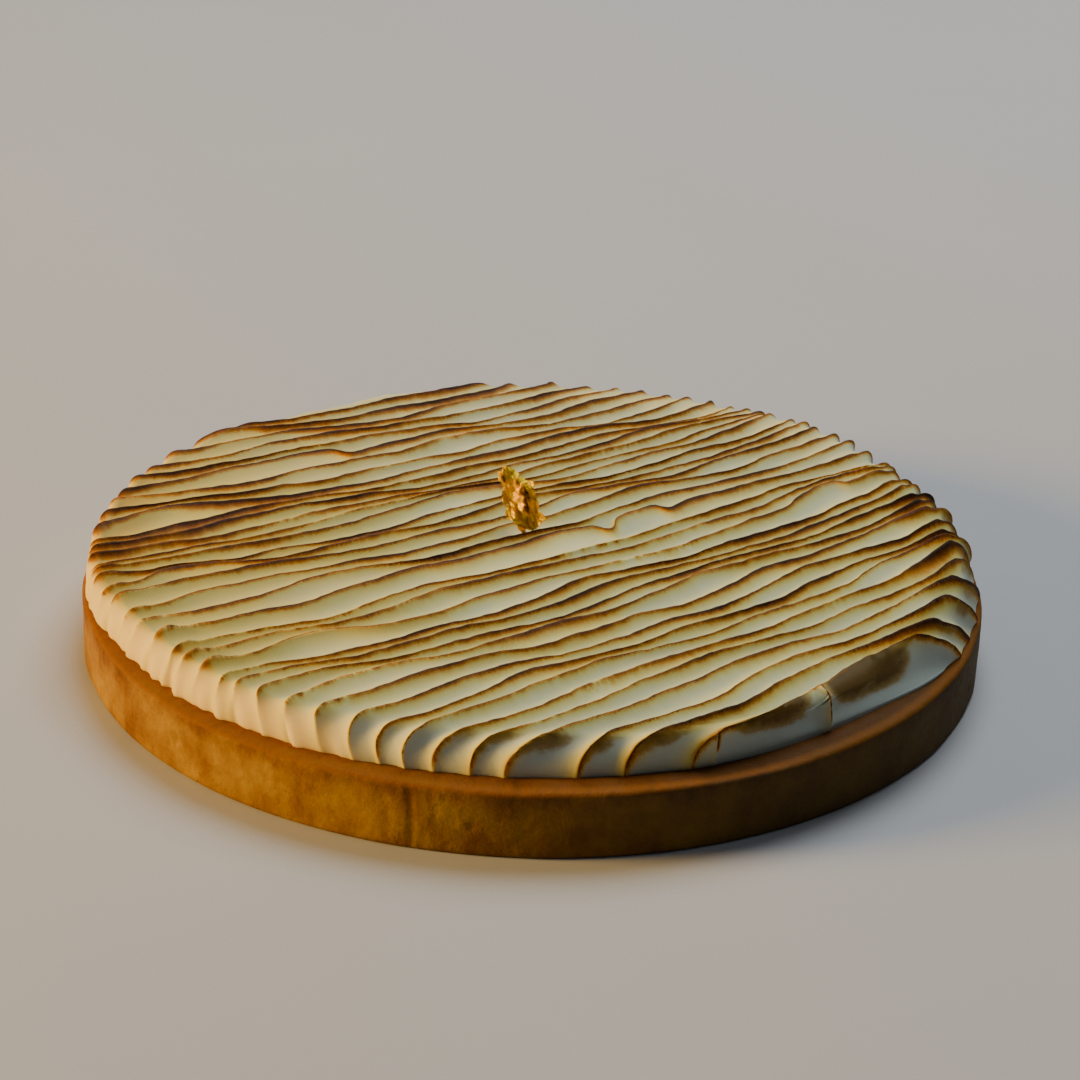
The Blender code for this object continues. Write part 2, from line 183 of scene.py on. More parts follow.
# Where the wide facets end: the direction at the top of the wall and at its foot, in degrees
FACET_ENDS = ((-86.0, -86.0), (-65.4, -66.3), (-47.8, -48.6), (-27.0, -29.0))

# The meringue's finer detail
MERINGUE_COLUMNS = 196
ROW_SPLITS = (0, 0.05, 0.12, 0.24, 0.38, 0.54, 0.7, 0.84, 0.94)
SHOULDER_STEPS_DEG = (5, 10, 16, 22, 28, 34, 40, 46, 52, 58, 64, 70, 76, 82, 87, 89.9)
ON_CREST = 0.02 * MM
NO_CREST = 20 * MM
CREST_SAMPLES = 2400
WOBBLE_SEED = 5
FINE_WAVES = ((0.16 * MM, 13 * MM), (0.10 * MM, 6.2 * MM), (0.06 * MM, 3.4 * MM))
CREST_NICKS = 0.16 * MM
CREST_NICK_DEPTH = 0.5 * MM
CREST_NICK_LENGTH = 3.6 * MM
SOFT_SWELL = 0.12 * MM
SOFT_SWELL_LENGTH = 14 * MM

# How the torch browned the crests: strength, and the distance down the slope that faces it in millimetres
TOAST_SEED = 23
TOAST_LEVELS = (0.64, 1.0)
TOAST_WAVES = ((0.16, 88 * MM), (0.10, 37 * MM), (0.06, 17 * MM))
BURN_REACH = 0.42
BURN_REACH_SHARES = (0.75, 1.35)
BURN_REACH_WAVES = ((0.30, 74 * MM), (0.18, 31 * MM))
BURN_WAVE_STRETCH = (0.8, 1.3)
FACET_BURN_REACH = 0.30
# Stretches with a wide dark face, and where a crest is pale and broken: across, from and to in mm, and change
WIDE_BURNS = (
    (54, -99, -71, 0.40), (60, -92, -71, 0.25), (48.5, -101, -74, 0.40), (-17, -76, -42, 0.30),
    (2, -10, 17, 0.22), (-47, -42, -8, 0.34), (-59, 68, 101, 0.40), (-36, 60, 96, 0.26), (-9, 62, 98, 0.20),
    (-72, -30, 4, 0.26),
)
BROKEN_BURNS = (
    (41.5, -54, 2, -0.34), (-9, -10, 22, -0.32), (-19, 12, 44, -0.32), (-30, 30, 58, -0.30),
    (20, -40, -6, -0.30), (66, -18, 30, -0.34),
)
BURN_SOFT_END = 7 * MM
# Regions that change the strength and the reach: change, direction, radius where they start, and softness
OUTER_TOAST = ((-0.20, (-128, 38), 78 * MM, 14 * MM), (0.16, (172, 26), 60 * MM, 20 * MM))
LEFT_EDGE_TOAST = (-0.5, (-142, 34), 99 * MM, 3 * MM)
OUTER_REACH = ((0.6, (108, 42), 70 * MM, 16 * MM), (0.7, (175, 22), 72 * MM, 14 * MM))
# The same at the elbows, where the last two are the ring's radius and width
ELBOW_TOAST = (0.12, (-5, 48), 108 * MM, 6 * MM)
ELBOW_REACH = (0.25, (-2, 40), 107 * MM, 5 * MM)
# The front and the back are paler: change, place along Y, and softness
PALE_BANDS = ((-0.16, -45 * MM, -15 * MM), (-0.05, 55 * MM, 15 * MM))

# Browning on the wall, painted shade in its flutes and painted warm light on the left wall: turns of the
# shoulder where they start or end, with their softness, in degrees
LEFT_BROWNING_END = (42, 9)
FOOT_BROWNING_END = (80, 8)
FOOT_BROWNING_LOSS = 0.5
FLUTE_SHADE_START = (22, 10)
FLUTE_SHADE_SIDES = ((0.20, 0.10), (0.97, -0.04))
LEFT_WARM_LIGHT_START = (34, 10)
FACET_PATCH_END = (44, -15)
FACET_PATCH_LEAN = 7 * MM
FACET_PATCH_LEFT = (1.5 * MM, 1.8 * MM)
FACET_PATCH_RIGHT = (-7 * MM, -3 * MM)
FLUTE_PATCH = 0.85
FLUTE_PATCH_SHARE = 0.55
FLUTE_PATCH_START = (14, 9)
FLUTE_PATCH_END = (56, -13)
FLUTE_PATCH_ANGLE = math.radians(-60)
FLUTE_PATCH_TURNS = ((-38, 5), (0, 12), (85, -12))
TIP_TOAST_SHARES = (0.3, 1.1)
TIP_TOAST_REACH = 2.3 * MM
TIP_TOAST_BEHIND = 1.6
TIP_TOAST_AT = (18, 22)

# The gold leaf, standing near the middle and leaning back
LEAF_FOOT = Vector((-0.2 * MM, 6.2 * MM, 28.2 * MM))
LEAF_LENGTH = 18.6 * MM
LEAF_WIDTH = 9.4 * MM
LEAF_THICKNESS = 0.05 * MM
LEAF_LEAN = math.radians(30)
LEAF_TILT = math.radians(24)
LEAF_TURN = math.radians(12)
LEAF_ROWS = 130
LEAF_COLUMNS = 76
LEAF_END_SHARE = 0.2
LEAF_RAGGED = 0.11
LEAF_CRUMPLE = 0.9 * MM
# Waves of its edges and folds: size, and how fast they run along and across
LEAF_EDGE_WAVES = ((1, 9, 2), (0.7, 23, 0))
LEAF_FOLD_WAVES = ((1, 5, 2.6), (0.6, 11, -2))
LEAF_FOLDS = ((1.2 * MM, 5.2 * MM), (0.75 * MM, 2.2 * MM))
LEAF_CREASES = ((0.26 * MM, 1.1 * MM), (0.12 * MM, 0.5 * MM))
LEAF_CREASE_SQUASH = 0.55
LEAF_SIDE_FOLDS = 0.4
LEAF_SIDE_SEED = Vector((0, 9 * MM, 0))
LEAF_TEARS = ((0.20, 1.5 * MM), (0.10, 0.5 * MM))
LEAF_TORN_FROM = 0.97

# The camera, at the photograph's place
CAMERA_LOOKS_DOWN = math.radians(24.55)
CAMERA_ROLL = math.radians(1.72)
CAMERA_DISTANCE = 0.84912
CAMERA_AIM = Vector((0.00154, 0.03921, 0.010))
FOCAL_IN_PIXELS = 3011.17
PHOTO_PIXELS = 1080
SENSOR_MM = 36

# The floor and the lights: direction they come from, distance, size, power and colour
FLOOR_SIZE = 3.0
KEY_LIGHT = dict(azimuth=-172, height=17, distance=1.7, size=0.5, power=46, colour=(1.0, 0.63, 0.18))
FILL_LIGHT = dict(azimuth=72, height=56, distance=1.8, size=1.3, power=24, colour=(0.90, 0.96, 1.0))
FRONT_LIGHT = dict(azimuth=-70, height=66, distance=2.0, size=1.5, power=2, colour=(0.84, 0.92, 1.0))
ROOM_COLOUR = (0.74, 0.80, 0.88)
ROOM_STRENGTH = 0.06


class Wire:
    """One value in a material, with arithmetic that adds Math nodes."""

    def __init__(self, finish, socket):
        self.finish = finish
        self.socket = socket

    def maths(self, operation, *values, clamp=False):
        settings = {"operation": operation, "use_clamp": clamp}
        return self.finish.node("ShaderNodeMath", settings, dict(enumerate(values)))

    def __add__(self, other):
        return self.maths("ADD", self, other)

    def __radd__(self, other):
        return self.maths("ADD", other, self)

    def __sub__(self, other):
        return self.maths("SUBTRACT", self, other)

    def __rsub__(self, other):
        return self.maths("SUBTRACT", other, self)

    def __mul__(self, other):
        return self.maths("MULTIPLY", self, other)

    def __rmul__(self, other):
        return self.maths("MULTIPLY", other, self)

    def __truediv__(self, other):
        return self.maths("DIVIDE", self, other)

    def __neg__(self):
        return self.maths("MULTIPLY", self, -1)

    def clip(self):
        return self.maths("ADD", self, 0, clamp=True)

    def most(self, other):
        return self.maths("MAXIMUM", self, other)

    def fade(self):
        """e to the minus this value."""
        return self.maths("POWER", math.e, -self)

    def between(self, low, high):
        """0 at low, 1 at high and smooth between; low may be the larger."""
        settings = {"interpolation_type": "SMOOTHSTEP"}
        return self.finish.node("ShaderNodeMapRange", settings, {0: self, 1: low, 2: high})


class Finish:
    """A material with one Principled shader and short ways to add nodes."""

    def __init__(self, name, **constants):
        self.material = bpy.data.materials.new(name)
        self.material.use_nodes = True
        self.tree = self.material.node_tree
        self.shader = self.tree.nodes["Principled BSDF"]
        for socket, value in constants.items():
            self.shader.inputs[socket.replace("_", " ")].default_value = value

    def node(self, kind, settings, inputs, output=0):
        made = self.tree.nodes.new(kind)
        for name, value in settings.items():
            if name == "stops":
                self.set_stops(made.color_ramp, value)
            else:
                setattr(made, name, value)
        for key, value in inputs.items():
            self.feed(made.inputs[key], value)
        return Wire(self, made.outputs[output])

    def feed(self, socket, value):
        if isinstance(value, Wire):
            self.tree.links.new(value.socket, socket)
        else:
            socket.default_value = value

    def set_stops(self, ramp, stops):
        while len(ramp.elements) < len(stops):
            ramp.elements.new(1.0)
        for element, (place, colour) in zip(ramp.elements, stops):
            element.position = place
            element.color = (*colour, 1)

    def attribute(self, name):
        return self.node("ShaderNodeAttribute", {"attribute_name": name}, {}, "Fac")

    def attribute_vector(self, name):
        return self.node("ShaderNodeAttribute", {"attribute_name": name}, {}, "Vector")

    def object_place(self):
        return self.node("ShaderNodeTexCoord", {}, {}, "Object")

    def split(self, vector, axis):
        return self.node("ShaderNodeSeparateXYZ", {}, {0: vector}, axis)

    def stretch(self, vector, scale):
        return self.node("ShaderNodeVectorMath", {"operation": "MULTIPLY"}, {0: vector, 1: scale})

    def length(self, vector):
        return self.node("ShaderNodeVectorMath", {"operation": "LENGTH"}, {0: vector}, "Value")

    def cloud(self, place, scale, detail=2.0, roughness=0.5, distortion=0.0):
        inputs = {"Vector": place, "Scale": scale, "Detail": detail, "Roughness": roughness}
        return self.node("ShaderNodeTexNoise", {}, {**inputs, "Distortion": distortion}, "Fac")

    def cells(self, place, scale):
        return self.node("ShaderNodeTexVoronoi", {}, {"Vector": place, "Scale": scale}, "Distance")

    def ramp(self, value, stops):
        return self.node("ShaderNodeValToRGB", {"stops": stops}, {0: value}, "Color")

    def blend(self, share, first, second):
        return self.node("ShaderNodeMix", {"data_type": "RGBA"}, {0: share, 6: first, 7: second}, 2)

    def tint(self, colour, *layers):
        """Lay more colours over one, each with its share."""
        for share, layer in layers:
            colour = self.blend(share, colour, (*layer, 1))
        return colour

    def bump(self, height, distance, strength=1.0, under=None):
        inputs = {"Height": height, "Distance": distance, "Strength": strength}
        if under:
            inputs["Normal"] = under
        return self.node("ShaderNodeBump", {}, inputs, "Normal")

    def finish(self, **links):
        for socket, value in links.items():
            self.feed(self.shader.inputs[socket.replace("_", " ")], value)
        return self.material


# Shared steps

def bump(distance, width):
    """A smooth hump, 1 at no distance and fading to 0."""
    return np.exp(-(distance / width) ** 2)


def smooth_step(value):
    return 0.5 * (1 + np.tanh(value))


def step_at(value, start, soft):
    """A smooth step from 0 to 1, or from 1 to 0 if soft is negative."""
    return smooth_step((value - start) / soft)


def turned_from(angle, middle):
    """The angle from a middle direction, from minus a half turn to a half turn."""
    return (angle - middle + math.pi) % math.tau - math.pi


def hump_at(angle, place):
    """A smooth hump around the tart."""
    middle, spread = map(math.radians, place)
    return bump(turned_from(angle, middle), spread)


def span_at(angle, place):
    """1 within a span of directions and 0 elsewhere."""
    middle, half, soft = map(math.radians, place)
    return smooth_step((half - np.abs(turned_from(angle, middle))) / soft)


def down_wall(drop, place):
    """A smooth step at a turn of the shoulder, with its softness."""
    return step_at(np.degrees(drop), *place)


def pick_shares(dice, shares, ridges):
    """A random share for each crest, at the crest that each point is nearest to."""
    return np.array([dice.uniform(*shares) for _ in range(RIDGE_COUNT + 1)])[ridges.nearest_crest()]


def lumps(places, size, seed=0.0):
    """Smooth noise from about -1 to 1 at a list of places, with lumps of one size."""
    return np.array([noise.noise(Vector(place) / size + Vector((seed, 0, 0))) for place in places])


def on_circle(angle):
    """Places on the tart's outer circle, for noise that runs around it without a join."""
    return np.stack((TART_RADIUS * np.cos(angle), TART_RADIUS * np.sin(angle), 0 * angle), axis=1)


def lumps_around(angle, sizes):
    return sum(size * lumps(on_circle(angle), length, seed) for size, length, seed in sizes)


def grow_ring(bm, edges):
    """Extrude a closed loop of edges and give back the new vertices and edges."""
    grown = bmesh.ops.extrude_edge_only(bm, edges=edges)["geom"]
    verts = [part for part in grown if isinstance(part, bmesh.types.BMVert)]
    fresh = set(verts)
    loop = [part for part in grown if isinstance(part, bmesh.types.BMEdge) and fresh.issuperset(part.verts)]
    return verts, loop


def close_with_fan(bm, loop):
    """Fill a flat loop with one face and split it into a fan of triangles."""
    cap = bmesh.ops.contextual_create(bm, geom=loop)["faces"]
    bmesh.ops.poke(bm, faces=cap)


def move_to(verts, places):
    for vert, place in zip(verts, places):
        vert.co = place


def place_object(name, data):
    placed = bpy.data.objects.new(name, data)
    bpy.context.scene.collection.objects.link(placed)
    return placed


def place_mesh(bm, name, material):
    """Turn a bmesh into an object and free it."""
    mesh = bpy.data.meshes.new(name)
    bm.to_mesh(mesh)
    bm.free()
    mesh.materials.append(material)
    return place_object(name, mesh)


def finish_piece(bm, name, material, node):
    """Turn a bmesh into a smooth piece that stands for a node of the CAD."""
    bmesh.ops.recalc_face_normals(bm, faces=bm.faces)
    piece = place_mesh(bm, name, material)
    piece.data.shade_smooth()
    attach(piece, "root")
    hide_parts(node)
    return piece


# Crust

def crust_profile():
    """Radius and height up the outer wall, over the rim and down into the recess."""
    inner = TART_RADIUS - RIM_WIDTH
    corners = [(TART_RADIUS - FOOT_ROUNDING, 0.0), (TART_RADIUS - 0.3 * FOOT_ROUNDING, 0.3 * FOOT_ROUNDING)]
    top = CRUST_HEIGHT - RIM_ROUNDING
    for step in range(WALL_RINGS + 1):
        corners.append((TART_RADIUS, FOOT_ROUNDING + (top - FOOT_ROUNDING) * step / WALL_RINGS))
    for turn in map(math.radians, RIM_STEPS_DEG):
        radius = TART_RADIUS - RIM_ROUNDING * (1 - math.cos(turn))
        corners.append((radius, top + RIM_ROUNDING * math.sin(turn)))
    corners += [(inner + out, CRUST_HEIGHT - below) for out, below in RIM_CORNERS]
    corners.append((inner, CRUST_HEIGHT - RECESS_DEPTH))
    return corners


def wall_relief(angle, height):
    """How far the baked wall stands out of the true cylinder, with waves as in the CAD."""
    wave = sum(size * np.sin(count * angle + twist * height) for size, count, twist in WALL_WAVES)
    along = turned_from(angle, SEAM_ANGLE) * TART_RADIUS
    lap = SEAM_LAP * bump(along + SEAM_LAP_WIDTH, SEAM_LAP_WIDTH)
    return wave + lap - SEAM_DEPTH * bump(along, SEAM_WIDTH)


def wall_marks(angle, height):
    """How deep the wrinkles beside the seam, the small pits and the dents of several sizes are."""
    along = turned_from(angle, SEAM_ANGLE) * TART_RADIUS
    depth = np.zeros(len(angle))
    lean = WRINKLE_LEAN[0] * math.sin(height / WRINKLE_LEAN[1])
    for offset, deep, width in WRINKLES:
        fade = 1 - WRINKLE_FADE[0] * (1 - math.sin(height / WRINKLE_FADE[1] + offset))
        depth += deep * MM * fade * bump(along - offset * MM - lean, width * MM)
    for degrees, pit_height, deep, width in PITS:
        beside = turned_from(angle, math.radians(degrees)) * TART_RADIUS
        depth += deep * MM * bump(beside, width * MM) * bump(height - pit_height * MM, width * MM)
    places = on_circle(angle) + np.array((0, 0, height))
    for number, (size, length) in enumerate(WALL_DENTS):
        depth += size * lumps(places, length, 7.0 * number)
    return depth


def rim_drop(angle):
    """How far the rim lies below its true height: a dip, and lumps everywhere."""
    return RIM_DIP * hump_at(angle, RIM_DIP_AT) + np.abs(lumps_around(angle, RIM_LUMPS))


def make_crust(material):
    bm = bmesh.new()
    profile = crust_profile()
    ring = bmesh.ops.create_circle(bm, segments=CRUST_SEGMENTS, radius=profile[0][0], cap_ends=False)["verts"]
    bottom = loop = list(bm.edges)
    for step, (radius, height) in enumerate(profile):
        if step:
            ring, loop = grow_ring(bm, loop)
        angle = np.array([math.atan2(vert.co.y, vert.co.x) for vert in ring])
        on_wall = min(1, height / FOOT_ROUNDING) * (radius > TART_RADIUS - 1.1 * RIM_ROUNDING)
        near_rim = max(0, (height / CRUST_HEIGHT - RIM_SHARE) / (1 - RIM_SHARE)) * (step < len(profile) - 1)
        out = radius + on_wall * (wall_relief(angle, height) - wall_marks(angle, height))
        inward = min(1, max(0, (TART_RADIUS - RIM_ROUNDING - radius) / (RIM_WIDTH - RIM_ROUNDING)))
        out = out + inward * (rim_inside(angle) - TART_RADIUS + RIM_WIDTH)
        level = height - near_rim * rim_drop(angle)
        move_to(ring, np.stack((out * np.cos(angle), out * np.sin(angle), level), axis=1))
    close_with_fan(bm, loop)
    close_with_fan(bm, bottom)
    finish_piece(bm, "baked_crust", material, "crust")


def crust_finish():
    m = Finish("Baked pastry", Specular_IOR_Level=0.12)
    place = m.object_place()
    height = m.split(place, "Z") / MM
    wide = m.cloud(place, 85, 4, 0.6)
    streaks = m.cloud(m.stretch(place, (1, 1, 0.22)), 240, 3, 0.6)
    grain = m.cloud(place, 900, 3, 0.65)
    flecks = m.cells(place, 620)
    baked = height.between(12.0, 16.5) * 0.22 + (wide - 0.5) * 1.7 + (streaks - 0.5) * 0.5
    baked = baked + (grain - 0.5) * 0.3 + 0.38
    colour = m.ramp(baked.clip(), (
        (0.0, (0.40, 0.220, 0.018)),
        (0.35, (0.30, 0.140, 0.007)),
        (0.65, (0.215, 0.080, 0.005)),
        (1.0, (0.09, 0.030, 0.004)),
    ))
    fleck = flecks.between(0.22, 0.10) * m.cloud(place, 120).between(0.5, 0.66) * 0.55
    # The right front of the crust is darker: painted shade.
    right = m.split(place, "X").between(-0.06, 0.07) * m.split(place, "Y").between(0.06, -0.03)
    rim = height.between(16.3, 17.2) * (0.8 + (wide - 0.5) * 0.8)
    radius = m.length(m.stretch(place, (1, 1, 0))) / MM
    colour = m.tint(
        colour,
        (fleck, (0.16, 0.06, 0.010)),
        # painted shade on the right front
        (right * 0.8, (0.052, 0.038, 0.016)),
        (rim.clip(), (0.27, 0.086, 0.001)),
        # painted shadow on the rim beside the meringue's foot, at the right front
        (right * radius.between(118.0, 115.5) * 0.75, (0.075, 0.028, 0.004)),
    )
    relief = m.bump(m.cloud(place, 1500, 4, 0.7), 0.13 * MM, 0.8)
    relief = m.bump(m.cloud(place, 330, 3, 0.6), 0.45 * MM, 0.7, relief)
    return m.finish(Base_Color=colour, Roughness=0.50 + 0.35 * grain, Normal=relief)


# Ridges

def crest_levels(dice):
    """Where the crests cross the middle line: one far below the front edge, then all those on the tart."""
    gaps = [RIDGE_GAP * (1 + RIDGE_GAP_SPREAD * dice.uniform(-1, 1)) for _ in range(RIDGE_COUNT - 2)]
    return np.cumsum([FIRST_CREST - OUTER_GAP, OUTER_GAP] + gaps)


def crest_lines(u):
    """The place across the ridges of every crest, one row a crest, at the places u along them.

    The last crest lies past the back edge, so that points there also have two crests.
    """
    dice = random.Random(RIDGE_SEED)
    levels = crest_levels(dice)
    shared = [dice.uniform(0, math.tau) for _ in SHARED_WAVES]
    lines = []
    for number, level in enumerate(levels):
        fan = RIDGE_FAN_PER_METRE * level
        line = level + (RIDGE_SLOPE + fan) * u + 0.5 * RIDGE_BEND_PER_METRE * u ** 2
        for (height, length, drift), phase in zip(SHARED_WAVES, shared):
            line += height * np.sin(math.tau * (u / length + drift * number) + phase)
        for height, length in OWN_WAVES:
            line += height * dice.uniform(0.5, 1) * np.sin(math.tau * u / length + dice.uniform(0, math.tau))
        lines.append(line)
    lines.append(lines[-1] + OUTER_GAP)
    lines = np.array(lines)
    swell_crests(lines, u, levels)
    add_fine_waves(lines, u)
    keep_apart(lines)
    return lines


def swell_crests(lines, u, levels):
    """Lift single crests off their line over a stretch, with a soft start and a hooked end."""
    for row in SWELLS:
        across, start, end, rise, start_length, end_length = [MM * value for value in row]
        number = int(np.argmin(np.abs(levels - across)))
        window = step_at(u, start, start_length) * step_at(u, end, -end_length)
        lines[number] += rise * window


def add_fine_waves(lines, u):
    """Small unsteady waves in every crest, finer than the CAD's."""
    dice = random.Random(WOBBLE_SEED)
    for line in lines:
        for height, length in FINE_WAVES:
            swing = np.sin(math.tau * u / (length * dice.uniform(2.2, 3.4)) + dice.uniform(0, math.tau))
            line += height * swing * np.sin(math.tau * u / length + dice.uniform(0, math.tau))


def keep_apart(lines):
    """Let crests run close together but never cross."""
    for low, high in zip(lines, lines[1:]):
        spare = high - low - RIDGE_LEAST_GAP
        high[:] = low + RIDGE_LEAST_GAP + 0.5 * (spare + np.sqrt(spare ** 2 + RIDGE_SOFTNESS ** 2))


class RidgePlaces:
    """Where points of the plan lie between their two crests."""

    def __init__(self, u, v):
        self.u = u
        self.lines = crest_lines(u)
        self.number = np.clip((self.lines <= v).sum(axis=0) - 1, 0, RIDGE_COUNT - 1)
        self.column = np.arange(len(u))
        below = self.lines[self.number, self.column]
        self.gap = self.lines[self.number + 1, self.column] - below
        self.behind = np.clip(v - below, 0, self.gap)
        self.ahead = self.gap - self.behind
        self.share = (self.behind / self.gap) ** (math.log(0.5) / math.log(GROOVE_LOWEST))
        deepest = RIDGE_DEPTH * np.tanh(RIDGE_DEPTH_PER_GAP * self.gap / RIDGE_DEPTH)
        self.depth = deepest * (1 - (2 * self.share - 1) ** 2)
        self.on_crest = np.minimum(self.behind, self.ahead) < ON_CREST
        self.on_low_crest = self.on_crest & (self.behind < self.ahead)

    def rise(self):
        """The rise and fall of the crests themselves."""
        phase = math.tau * self.u / CREST_RISE_LENGTH
        low, high = [CREST_RISE * np.sin(CREST_RISE_DRIFT * (self.number + side) + phase) for side in (0, 1)]
        return low + (high - low) * self.share

    def nearest_crest(self):
        return self.number + (self.ahead < self.behind)

    def burning_crest(self):
        """The crest whose browned slope a point is on: the next one, or the one it stands on."""
        return np.where(self.on_low_crest, self.number, self.number + 1)

    def past_outermost(self):
        """Whether a point is on the outermost crest or outside it, where the wide facets are."""
        return (self.number == 0) | (self.on_low_crest & (self.number == 1))

    def pick(self, rows):
        return rows[self.burning_crest(), self.column]


# Meringue

def edge_radius(angle):
    """Outer radius of the meringue, which sits a little off centre and is flattened in one place."""
    shift = MERINGUE_SHIFT * np.cos(angle - MERINGUE_SHIFT_ANGLE) - FLAT_SPOT * hump_at(angle, FLAT_SPOT_AT)
    swell = RIGHT_SWELL * hump_at(angle, RIGHT_SWELL_AT) - FRONT_INSET * span_at(angle, FRONT_INSET_AT)
    return MERINGUE_RADIUS + shift + swell


def shoulder_start(angle):
    """The share of the edge radius at which the top turns down: wide at the front, tight elsewhere."""
    tight = (1 - span_at(angle, LEFT_SHOULDER_AT)) * (1 - span_at(angle, FACET_SHOULDER_AT))
    front = smooth_step(3 * np.cos(angle - FRONT_ANGLE) - 1) * tight
    return SHOULDER_START_BACK + (SHOULDER_START_FRONT - SHOULDER_START_BACK) * front


def rim_inside(angle):
    """Inner radius of the crust's rim, which is wider where the meringue stands back from it."""
    return np.minimum(TART_RADIUS - RIM_WIDTH, edge_radius(angle) - RIM_OVERLAP)


def ridge_to_plan(u, v):
    cos, sin = math.cos(RIDGE_ANGLE), math.sin(RIDGE_ANGLE)
    return u * cos - v * sin, u * sin + v * cos


def shoulder_reach(u, v):
    """How far out a point is: below 0 on the top, 0 where the shoulder starts and 1 at the edge."""
    x, y = ridge_to_plan(u, v)
    angle = np.arctan2(y, x)
    start = shoulder_start(angle)
    return (np.hypot(x, y) / edge_radius(angle) - start) / (1 - start)


class CombRows:
    """Rows that follow the crests and grooves, each with its crossings of the shoulder's rings."""

    def __init__(self, splits):
        self.u = np.linspace(-TART_RADIUS, TART_RADIUS, CREST_SAMPLES)
        lines = crest_lines(self.u)
        inside = [line for line in lines if shoulder_reach(self.u, line).min() < ROW_REACH_LIMIT]
        rows = []
        for low, high in zip(inside, inside[1:]):
            rows += [low + (high - low) * share for share in splits]
        self.rows = np.array(rows + [inside[-1]])
        self.last = len(self.rows) - 1
        self.reaches = [shoulder_reach(self.u, row) for row in self.rows]

    def crossing(self, number, reach, side):
        """Where a row meets a ring of the shoulder, on its left side or its right side."""
        middle = int(np.argmin(self.reaches[number]))
        if side < 0:
            return np.interp(-reach, -self.reaches[number][:middle + 1], self.u[:middle + 1])
        return np.interp(reach, self.reaches[number][middle:], self.u[middle:])

    def across(self, number, u):
        return np.interp(u, self.u, self.rows[number])

    def crossing_angle(self, number, reach, side):
        u = self.crossing(number, reach, side)
        return math.atan2(self.across(number, u), u) + RIDGE_ANGLE


def beside_facet_ends(angle, drop):
    """The distance around the wall from each end of the wide facets, from the leftmost to the rightmost."""
    middles = [math.radians(top) + math.radians(foot - top) * np.sin(drop) for top, foot in FACET_ENDS]
    return [TART_RADIUS * turned_from(angle, middle) for middle in middles]


def beside_dividers(angle, drop):
    """The distance around the wall from the nearest divider of the wide facets, below 0 to its left."""
    first, second = beside_facet_ends(angle, drop)[1:3]
    return np.where(np.abs(first) < np.abs(second), first, second)


def divider_share(angle, drop):
    """1 on the crests that divide the wide facets, fading to 0 beside them."""
    return np.exp(-np.abs(beside_dividers(angle, drop)) / FACET_CREST_WIDTH)


def flute_depth(angle, drop, ridges, share):
    """The grooves' depth down the wall: dividers between wide facets, and shallow grooves at the far edge."""
    far = hump_at(angle, FAR_FADE_AT) * step_at(share, *FAR_FADE_SHARE)
    slope = 1 - np.exp(-ridges.ahead / FACET_SLOPE)
    facet = FACET_DEPTH * slope * (1 - DIVIDER_FILL * divider_share(angle, drop))
    return np.where(ridges.number == 0, facet, ridges.depth * (1 - FAR_FADE * far))


def left_wall(angle):
    """1 on the smooth wall at the left and 0 at the front and the right."""
    return span_at(angle, LEFT_WALL_AT)


def flute_fade(angle, drop):
    """How much of the relief is left at a turn of the shoulder; the wall is smooth at the left."""
    smooth = left_wall(angle)
    kept = FLUTE_AT_FOOT * (1 - smooth)
    return 1 - (1 - kept) * np.sin(drop) ** (FLUTE_FADE_POWER + (LEFT_FADE_POWER - FLUTE_FADE_POWER) * smooth)


def nose_reach(angle, drop, ridges):
    """How far the crests' ends stand out over the wall, most where the comb left the tart."""
    strength = pick_shares(random.Random(NOSE_SEED), NOSE_SHARES, ridges)
    crest = np.clip(1 - ridges.depth / RIDGE_DEPTH, 0, 1)
    left = left_wall(angle)
    size = NEAR_NOSE + (FAR_NOSE - NEAR_NOSE) * hump_at(angle, FAR_END_AT) + LEFT_NOSE * left
    return size * (1 - left * np.sin(drop) ** 1.5) * strength * np.sin(2 * drop) * crest


def crest_ends(angle, share, ridges):
    """How far the crests rise at the edge: pointed elbows at the right and small tips at the left."""
    strength = pick_shares(random.Random(NOSE_SEED + 1), TIP_SHARES, ridges)
    length = np.where(share < ELBOW_SHARE, ELBOW_TAIL_LENGTH, ELBOW_LENGTH)
    elbow = ELBOW_RISE * hump_at(angle, ELBOW_AT) * bump(share - ELBOW_SHARE, length)
    tip = TIP_RISE * strength * hump_at(angle, TIP_AT) * bump(share - TIP_SHARE, TIP_LENGTH)
    return (elbow + tip) * np.exp(-ridges.depth / END_DEPTH)


def fine_relief(ridges, u, v):
    """Nicks along the crests and a soft unevenness everywhere."""
    crest = np.exp(-ridges.depth / CREST_NICK_DEPTH)
    nicked = np.stack((u, 5 * CREST_NICK_LENGTH * ridges.burning_crest() + v, 0 * u), axis=1)
    nicks = CREST_NICKS * crest * lumps(nicked * np.array((1, 0.2, 1)), CREST_NICK_LENGTH)
    return nicks + SOFT_SWELL * lumps(np.stack((u, v, 0 * u), axis=1), SOFT_SWELL_LENGTH, 9.0)


def foot_lobes(angle, drop):
    """Lumps of meringue that hang over the rim at the front left."""
    level = LOBE_LEVEL + lumps_around(angle, LOBE_LUMPS)
    return np.clip(level, 0, LOBE_LIMIT) * hump_at(angle, LOBE_AT) * np.sin(drop) ** LOBE_POWER


